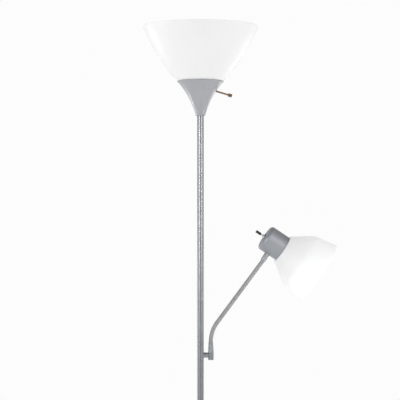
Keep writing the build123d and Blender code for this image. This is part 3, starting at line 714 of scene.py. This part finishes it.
def makeKnuckle(place):  # a ball just under the hose's root, which fills the joint's gap when it bends
    radius = gooseneck["rootRadius"] - gooseneck["knuckleGap"]
    angles = [math.pi * (step / gooseneck["knuckleSteps"] - 0.5) for step in range(1, gooseneck["knuckleSteps"])]
    outline = [(radius * math.cos(angle), radius * math.sin(angle)) for angle in angles]
    ball = turned("knuckle", [(0, -radius), *outline, (0, radius)], facets=gooseneck["facets"], closed=False)
    ball.data.transform(Matrix.Translation(place))
    return ball


neckBodies = ["stand", *(f"gooseneck_{number}" for number in range(2, gooseneck["links"] + 1)), "reading_head"]
linkLength = neckLength() / gooseneck["links"]
hinges = [linkLength * (number + 0.5) for number in range(gooseneck["links"])]
for number, (low, high) in enumerate(zip([0.0] + hinges, hinges + [neckLength()])):
    name = f"gooseneckHose{number + 1:02d}"
    sections = round((high - low) / linkLength * gooseneck["ribsPerLink"] * gooseneck["stepsPerRib"])
    points = [neckPoint(low + (high - low) * step / sections)[0] for step in range(sections + 1)]
    hose = grown(pathObject(name, points), ribTree, {
        "Root Radius": gooseneck["rootRadius"],
        "Crest Radius": gooseneck["crestRadius"],
        "Pitch": linkLength / gooseneck["ribsPerLink"],
        "Sections": sections + 1,
        "Facets": gooseneck["facets"],
        "Wind": 1.0,
    }, hoseMetal)
    if number < gooseneck["links"]:
        hose = joined(name, hose, makeKnuckle(points[-1]))
    settle(hose, Matrix.Identity(4), neckBodies[number], [f"gooseneck_link_{number + 1:02d}"],
           hoseMetal, sharpAngle=60)
print("gooseneck ready")


# lampholder, ring and bulb, the same in both lights

fittings = {
    "holderRadius": 16.5,
    "holderHeight": 36.0,
    "holderFloor": 6.0,
    "holderBore": 14.4,
    "threadStart": 16.0,
    "threadPitch": 2.4,
    "threadDepth": 0.7,
    "ringRadius": 21.5,
    "ringHeight": 4.0,
    "ringTeeth": 30,
    "toothDepth": 0.8,
    "bulbRadius": 30.0,
    "bulbHeight": 75.0,
    "neckRadius": 12.8,
    "neckStart": 35.0,
    "bulbWall": 1.0,
}


def stacked(start, finish, steps):  # even steps between two profile points
    start, finish = Vector(start), Vector(finish)
    return [tuple(start.lerp(finish, step / steps)) for step in range(steps + 1)]


def makeHolder(name, place, body, node):
    radius, low, pitch = fittings["holderRadius"], fittings["threadStart"], fittings["threadPitch"]
    outer = [(7.0, 0), (radius - 1.6, 0, 1), (radius - 0.4, 1.6, 0.6), (radius - 0.4, low - 1, 0.3)]
    while low + pitch < fittings["holderHeight"] - 0.5:
        outer += [(radius - fittings["threadDepth"], low, 0.3), (radius, low + pitch / 2, 0.4)]
        low += pitch
    top = fittings["holderHeight"]
    outer += [(radius - 0.3, top, 0.5), (fittings["holderBore"], top, 0.5),
              (fittings["holderBore"], fittings["holderFloor"], 0.5), (7.0, fittings["holderFloor"])]
    holder = turned(name, softened(outer, closed=True, steps=3), facets=72)
    settle(holder, place, body, [node], phenolic)


def makeShadeRing(name, place, body, node):
    inside, outside, top = fittings["holderRadius"] + 0.05, fittings["ringRadius"], fittings["ringHeight"]
    profile = softened([(inside, 0), (outside - 0.6, 0, 0.5)], steps=3)
    profile += stacked((outside, 0.6), (outside, top - 0.6), 6)
    profile += softened([(outside - 0.6, top), (inside + 1.5, top, 0.6), (inside, top - 0.8)], steps=3)
    ring = grown(turned(name, profile, facets=fittings["ringTeeth"] * 10), fluteTree, {
        "Count": fittings["ringTeeth"],
        "Depth": fittings["toothDepth"],
        "Low": 0.2,
        "High": top - 0.2,
        "Fade": 0.5,
        "Least Radius": outside - 0.8,
    }, phenolic)
    settle(ring, place, body, [node], phenolic)


def makeBulb(name, place, body, node):  # a neck that runs on into a ball, blown thin
    ball, neck, start = fittings["bulbRadius"], fittings["neckRadius"], fittings["neckStart"]
    widest = start + fittings["bulbHeight"] - ball
    reach = math.hypot(neck, widest - start)
    touch = math.atan2(widest - start, neck) - math.acos(ball / reach)
    outer = stacked((neck, start), (ball * math.cos(touch), widest - ball * math.sin(touch)), 10)
    for step in range(1, 41):
        angle = -touch + (math.pi / 2 + touch) * step / 40
        outer.append((ball * math.cos(angle) if step < 40 else 0, widest + ball * math.sin(angle)))
    inner = inset(outer, fittings["bulbWall"])
    inner[-1] = (0, inner[-1][1])
    bulb = turned(name, outer + inner[::-1], facets=80)
    settle(bulb, place, body, [node], bulbGlass)


def makeKnob(name, place, body, node, radius, length, flutes, finish):
    profile = [(0, 0)] + softened([(0, 0), (radius, 0, 0.5), (radius, 1)], steps=3)[1:-1]
    profile += stacked((radius, 1), (radius, length - 1), 10)
    profile += softened([(radius, length - 1), (radius, length, 0.7), (radius * 0.6, length, 0.5),
                         (0, length - 0.35)], steps=4)[1:]
    knob = grown(turned(name, profile, facets=flutes * 8, closed=False), fluteTree, {
        "Count": flutes,
        "Depth": 0.32,
        "Low": 0.7,
        "High": length - 0.4,
        "Fade": 0.9,
        "Least Radius": radius * 0.8,
    }, finish)
    settle(knob, place, body, [node], finish)


def makeSpindle(name, place, body, node, radius, start, finish, material):
    profile = softened([(0, start), (radius, start, 0.3), (radius, finish, 0.3), (0, finish)], steps=3)
    settle(turned(name, profile, facets=36, closed=False), place, body, [node], material)


def hexagonal(name, width, bore, height):  # a nut, with its corners turned off at a slant
    flat = width / 2
    corner = flat / math.cos(math.pi / 6)
    profile = softened([
        (bore, 0), (flat - 0.2, 0), (corner, 0.8), (corner, height - 0.8), (flat - 0.2, height), (bore, height),
    ], closed=True, steps=2)
    nut = turned(name, profile, facets=96)
    for vertex in nut.data.vertices:
        reach = math.hypot(vertex.co.x, vertex.co.y)
        angle = math.atan2(vertex.co.y, vertex.co.x) % (math.pi / 3) - math.pi / 6
        allowed = flat / math.cos(angle)
        if reach > allowed:
            vertex.co.x *= allowed / reach
            vertex.co.y *= allowed / reach
    return nut


# the reading light: heights run along its axis from the cup's mouth

head = {
    "tilt": 33.2,
    "sleeveRadius": 6.35,
    "sleeveBore": 4.6,
    "sleeveLength": 19.5,
    "setback": 25.0,
    "cupRadius": 31.5,
    "cupDepth": 53.0,
    "cupEdge": 8.0,
    "cupWall": 1.0,
    "shadeRadius": 79.0,
    "shadeLength": 103.5,
    "shoulderRadius": 35.8,
    "bellyRadius": 69.4,
    "bellyHeight": 48.2,
    "bellyRounding": 45.0,
    "neckDepth": 3.0,
    "shadeWall": 2.0,
    "bushingRadius": 3.5,
    "bushingLength": 6.0,
    "nutWidth": 13.0,
    "nutHeight": 3.0,
    "knobRadius": 3.2,
    "knobLength": 14.0,
    "knobStart": 10.5,
    "knobFlutes": 14,
    "shaftRadius": 2.0,
    "shaftStart": -6.8,
    "threadPitch": 0.75,
    "threadStart": -2.0,
    "threadSteps": 96,
    "switchRadius": 9.0,
    "switchFloor": -50.8,
    "switchLength": 11.0,
    "holderRise": 3.0,
}
tilt = math.radians(head["tilt"])
headAlong = Vector((math.cos(tilt), 0, -math.sin(tilt)))
neckTip, tipAngle = neckPoint(neckLength())
tipAlong = Vector((math.sin(tipAngle), 0, math.cos(tipAngle)))
headOrigin = neckTip + tipAlong * (head["sleeveLength"] + head["cupRadius"]) + headAlong * head["setback"]
headPlace = placeAt(headOrigin, headAlong)
sleevePlace = placeAt(neckTip, tipAlong)

sleeve = softened([
    (head["sleeveBore"], 0, 0.3), (head["sleeveRadius"], 0, 0.6),
    (head["sleeveRadius"], head["sleeveLength"] + 8), (head["sleeveBore"], head["sleeveLength"] + 8),
], closed=True, steps=4)
gooseneckSleeve = turned("gooseneckSleeve", sleeve, facets=64)
for vertex in gooseneckSleeve.data.vertices:  # the outer end sits on the round cup
    if vertex.co.z > head["sleeveLength"]:
        drop = math.sqrt(head["cupRadius"] ** 2 - vertex.co.x ** 2)
        vertex.co.z = head["sleeveLength"] + head["cupRadius"] - drop + 0.15
settle(gooseneckSleeve, sleevePlace, "reading_head", ["gooseneck_sleeve"], silverPaint)

cupBack = -head["cupDepth"]
cupOutline = softened([
    (head["bushingRadius"], cupBack), (head["cupRadius"], cupBack, head["cupEdge"]),
    (head["cupRadius"], -1.2, 2), (head["cupRadius"] + 0.25, 0),
], steps=12)
readingCup = turned("readingCup", walled(cupOutline, head["cupWall"]), facets=128)
settle(readingCup, headPlace, "reading_head", ["reading_cup"], shadedHeadPaint)

shadeOutline = softened([
    (head["cupRadius"] - 1.05, -head["neckDepth"]), (head["cupRadius"] - 1.05, 0.05, 0.3),
    (head["shoulderRadius"], 0.05, 1.6), (head["bellyRadius"], head["bellyHeight"], head["bellyRounding"]),
    (head["shadeRadius"], head["shadeLength"]),
], steps=14)
bellProfile = walled(shadeOutline, head["shadeWall"], lipSteps=8)
readingShade = turned("readingShade", bellProfile, facets=144)
settle(readingShade, headPlace, "reading_head", ["reading_shade"], whiteShade)

backPlace = placeAt(headOrigin - headAlong * head["cupDepth"], -headAlong)  # Z out of the cup's back
nut = hexagonal("readingSwitchNut", head["nutWidth"], head["bushingRadius"], head["nutHeight"])
settle(nut, backPlace, "reading_head", ["reading_switch_nut"], nickelPlate)
threadSteps, bushingEnd = head["threadSteps"], head["bushingLength"]
threadRun = bushingEnd - 0.3 - head["threadStart"]
threadPoints = [(0, 0, head["threadStart"] + threadRun * step / threadSteps) for step in range(threadSteps + 1)]
thread = grown(pathObject("thread", threadPoints), ribTree, {
    "Root Radius": head["bushingRadius"] - 0.3,
    "Crest Radius": head["bushingRadius"] - 0.02,
    "Pitch": head["threadPitch"],
    "Sections": threadSteps + 1,
    "Facets": 32,
    "Wind": 1.0,
}, nickelPlate)
bushingTip = turned("bushingTip", [
    (0, bushingEnd - 0.5), (head["bushingRadius"] - 0.35, bushingEnd - 0.5),
    (head["bushingRadius"] - 0.6, bushingEnd), (0, bushingEnd),
], facets=32, closed=False)
switchTop = -head["cupDepth"] - head["switchFloor"]
switchBody = turned("switchBody", softened([
    (0, switchTop - head["switchLength"]), (head["switchRadius"], switchTop - head["switchLength"], 0.8),
    (head["switchRadius"], switchTop, 0.5), (0, switchTop),
], steps=3), facets=48, closed=False)
readingSwitch = joined("readingSwitch", thread, bushingTip, switchBody)
settle(readingSwitch, backPlace, "reading_head", ["reading_switch"], nickelPlate)
makeSpindle("readingShaft", backPlace, "reading_switch_knob", "reading_shaft", head["shaftRadius"],
            head["shaftStart"], head["knobStart"] + head["knobLength"] / 2, nickelPlate)
knobPlace = placeAt(headOrigin - headAlong * (head["cupDepth"] + head["knobStart"]), -headAlong)
makeKnob("readingKnob", knobPlace, "reading_switch_knob", "reading_knob", head["knobRadius"], head["knobLength"],
         head["knobFlutes"], blackKnob)
holderPlace = placeAt(headOrigin + headAlong * (head["holderRise"] - fittings["holderHeight"]), headAlong)
makeHolder("readingHolder", holderPlace, "reading_head", "reading_holder")
makeBulb("readingBulb", holderPlace, "reading_head", "reading_bulb_glass")
ringPlace = placeAt(headOrigin + headAlong * (head["shadeWall"] - head["neckDepth"]), headAlong)
makeShadeRing("readingShadeRing", ringPlace, "reading_head", "reading_shade_ring")
print("reading light ready")


# the top light

top = {
    "poleTop": 1584.0,
    "cupHeight": 84.0,
    "cupRadius": 56.0,
    "cupFoot": 11.8,
    "cupBore": 5.0,
    "cupSagitta": 5.4,
    "cupWall": 1.0,
    "lipRadius": 1.3,
    "shadeHeight": 132.0,
    "shadeRadius": 139.5,
    "shadeSagitta": 7.5,
    "shadeWall": 2.0,
    "seatRadius": 54.7,
    "seatDepth": 2.0,
    "seatBore": 16.8,
    "stemDrop": 13.2,
    "stemAngle": 15.6,
    "stemRadius": 2.1,
    "stemStart": 5.0,
    "stemReach": 70.0,
    "stemHole": 3.1,
    "stemHoleReach": (15.0, 60.0),
    "knobRadius": 4.1,
    "knobLength": 9.5,
    "knobGrip": 5.0,
    "knobFlutes": 24,
    "holderDrop": 4.0,
}
cupRim = top["poleTop"] + top["cupHeight"]
trumpet = bowed((top["cupFoot"], top["poleTop"] + 1.5), (top["cupRadius"] - top["lipRadius"], cupRim - 1.6),
                -top["cupSagitta"], 26)
foot = softened([
    (top["cupBore"], top["poleTop"]), (top["cupFoot"] - 0.3, top["poleTop"], 1.2), trumpet[1],
], steps=4)
roll = []
for step in range(9):  # the rim is rolled outwards into a bead
    angle = math.radians(-120 + step * 30)
    roll.append((top["cupRadius"] - top["lipRadius"] + top["lipRadius"] * math.cos(angle),
                 cupRim - top["lipRadius"] + top["lipRadius"] * math.sin(angle)))
cupOuter = foot[:-1] + trumpet[1:-1] + roll
cupInner = inset(foot[:-1] + trumpet[1:-1], top["cupWall"])
upperCup = turned("upperCup", cupOuter + cupInner[::-1], facets=144)
stemSlope = math.radians(top["stemAngle"])
stemAlong = Vector((math.cos(stemSlope), 0, -math.sin(stemSlope)))
stemPlace = placeAt((0, 0, cupRim - top["stemDrop"]), stemAlong)
holeStart, holeEnd = top["stemHoleReach"]
stemHole = turned("stemHole", [(0, holeStart), (top["stemHole"], holeStart), (top["stemHole"], holeEnd),
                               (0, holeEnd)], facets=32, closed=False)
stemHole.data.transform(stemPlace)
upperCup.data.transform(upright)
cutAway(upperCup, stemHole)
settle(upperCup, Matrix.Identity(4), "stand", ["upper_cup"], silverPaint)

bowl = softened([
    (top["seatBore"], cupRim - top["seatDepth"]),
    (top["seatRadius"] - top["seatDepth"], cupRim - top["seatDepth"], 0.8), (top["seatRadius"], cupRim),
], steps=4)
bowl += bowed((top["seatRadius"], cupRim), (top["shadeRadius"], cupRim + top["shadeHeight"]),
              top["shadeSagitta"], 36)[1:]
upperShade = turned("upperShade", walled(bowl, top["shadeWall"], lipSteps=8), facets=160)
settle(upperShade, upright, "stand", ["upper_shade"], whiteShade)

makeSpindle("upperStem", stemPlace, "upper_switch_knob", "upper_stem", top["stemRadius"], top["stemStart"],
            top["stemReach"] + top["knobGrip"], bronzePlate)
stemKnobPlace = placeAt(Vector((0, 0, cupRim - top["stemDrop"])) + stemAlong * top["stemReach"], stemAlong)
makeKnob("upperKnob", stemKnobPlace, "upper_switch_knob", "upper_knob", top["knobRadius"], top["knobLength"],
         top["knobFlutes"], bronzePlate)
topHolderPlace = placeAt((0, 0, cupRim - top["holderDrop"]), (0, 0, 1))
makeHolder("upperHolder", topHolderPlace, "stand", "upper_holder")
makeBulb("upperBulb", topHolderPlace, "stand", "upper_bulb_glass")
makeShadeRing("upperShadeRing", placeAt((0, 0, cupRim), (0, 0, 1)), "stand", "upper_shade_ring")
print("top light ready")


# camera, floor and light, in metres

studio = {
    "azimuth": -9.0,
    "elevation": -3.75,
    "distance": 7.35,
    "target": (0, 0, 1.3807),
    "poleShift": -0.0011,
    "lens": 274.9,
    "skyCamera": 0.975,
    "skyDiffuse": 1.33,
    "skyDimming": 0.5,
    "skyOverhead": 0.22,
    "mirrorLevel": 0.5,
    "mirrorDimming": 0.25,
    "mirrorOverhead": 0.75,
    "mirrorBehind": 0.5,
    "floorRadius": 9.0,
}


def makeCamera():
    camera = bpy.data.cameras.new("camera")
    camera.lens = studio["lens"]
    camera.sensor_width = 36.0
    camera.clip_start, camera.clip_end = 0.05, 60
    eye = bpy.data.objects.new("camera", camera)
    bpy.context.scene.collection.objects.link(eye)
    a, e = math.radians(studio["azimuth"]), math.radians(studio["elevation"])
    back = Vector((math.sin(a) * math.cos(e), -math.cos(a) * math.cos(e), math.sin(e)))
    right = Vector((math.cos(a), math.sin(a), 0))
    target = Vector(studio["target"]) + right * studio["poleShift"]
    eye.location = target + back * studio["distance"]
    eye.rotation_mode = "QUATERNION"
    eye.rotation_quaternion = (-back).to_track_quat("-Z", "Y")
    bpy.context.scene.camera = eye


def makeWorld():
    world = bpy.data.worlds.new("studio")
    bpy.context.scene.world = world
    world.use_nodes = True
    tree = Tree(world.node_tree)
    backdrop = world.node_tree.nodes["Background"]
    way = tree.add("ShaderNodeTexCoord").outputs["Generated"]
    parts = tree.add("ShaderNodeSeparateXYZ", None, Vector=way)
    y, z = Wire(tree, parts.outputs[1]), Wire(tree, parts.outputs[2])
    paths = tree.add("ShaderNodeLightPath")
    seen = Wire(tree, paths.outputs["Is Camera Ray"])
    mirrored = Wire(tree, paths.outputs["Is Glossy Ray"])
    through = Wire(tree, paths.outputs["Is Transmission Ray"])
    front, behind, overhead = (y * -1.0).limited(), y.limited(), z.limited()
    reflected = studio["mirrorLevel"] * (1.0 - front ** 6.0 * studio["mirrorDimming"])
    reflected = reflected * (1.0 - overhead * studio["mirrorOverhead"]) * (1.0 + behind * studio["mirrorBehind"])
    plain = studio["skyDiffuse"] * (1.0 - front * studio["skyDimming"]) * (1.0 - overhead * studio["skyOverhead"])
    shown = (seen + through).limited()
    level = studio["skyCamera"] * shown + (1.0 - shown) * (mirrored * reflected + (1.0 - mirrored) * plain)
    backdrop.inputs[0].default_value = (1.0, 1.0, 1.0, 1)
    tree.feed(backdrop.inputs[1], level)


def makeLamp(name, place, aim, size, power, serves, spread=180):  # serves matt surfaces or reflections
    lamp = bpy.data.lights.new(name, "AREA")
    lamp.shape = "RECTANGLE"
    lamp.size, lamp.size_y = size
    lamp.energy = power
    lamp.spread = math.radians(spread)
    made = bpy.data.objects.new(name, lamp)
    bpy.context.scene.collection.objects.link(made)
    made.location = place
    made.rotation_euler = (Vector(aim) - Vector(place)).to_track_quat("-Z", "Y").to_euler()
    made.visible_diffuse = serves == "matt"
    made.visible_glossy = serves == "reflections"
    made.visible_camera = False


def makeFloor():
    floor = turned("floor", [(0, 0), (studio["floorRadius"] * 500, 0), (studio["floorRadius"] * 1000, 0)],
                   facets=64, closed=False)
    floor.data.transform(Matrix.Scale(mm, 4) @ Matrix.Translation((0, 0, -0.2)))
    floor.data.flip_normals()
    finish = Finish("paleFloor", Metallic=0.0)
    cloud = finish.noise(1.5, 3.0)
    finish.put(Base_Color=finish.between(cloud, (0.84, 0.84, 0.84, 1), (0.88, 0.88, 0.88, 1)))
    finish.put(Roughness=cloud * 0.1 + 0.6)
    floor.data.materials.append(finish.material)


lamps = {  # place, aim, size, power in watts, what they serve
    "floorPanel": ((0.1, -0.2, 0.06), (0.1, -0.2, 2), (2.4, 2.4), 8, "matt"),
    "bellPanel": ((0.75, -0.9, 0.75), (0.29, 0, 1.21), (0.3, 0.3), 0.25, "matt", 40),
    "softboxLeft": ((-1.2, -1.3, 1.64), (0, 0, 1.55), (0.3, 0.8), 7, "reflections"),
    "softboxRight": ((0.9, -1.5, 1.66), (0, 0, 1.55), (0.3, 0.8), 5, "reflections"),
    "softboxMiddle": ((-0.25, -1.6, 1.85), (0, 0, 1.6), (1.5, 1.0), 1.2, "reflections"),
    "sideLeft": ((-1.4, -0.02, 1.65), (0, 0, 1.5), (0.9, 1.1), 3.2, "reflections"),
    "sideRight": ((1.32, -0.46, 1.65), (0, 0, 1.5), (0.9, 1.1), 2.8, "reflections"),
    "cardLeft": ((-1.6, 1.6, 1.1), (0, 0, 1.6), (0.7, 0.7), 3.5, "reflections"),
    "cardRight": ((1.6, 1.6, 1.1), (0, 0, 1.6), (0.7, 0.7), 2, "reflections"),
}
makeCamera()
makeWorld()
makeFloor()
for name, settings in lamps.items():
    makeLamp(name, *settings)
bpy.context.scene.view_settings.view_transform = "Standard"
print("studio ready")
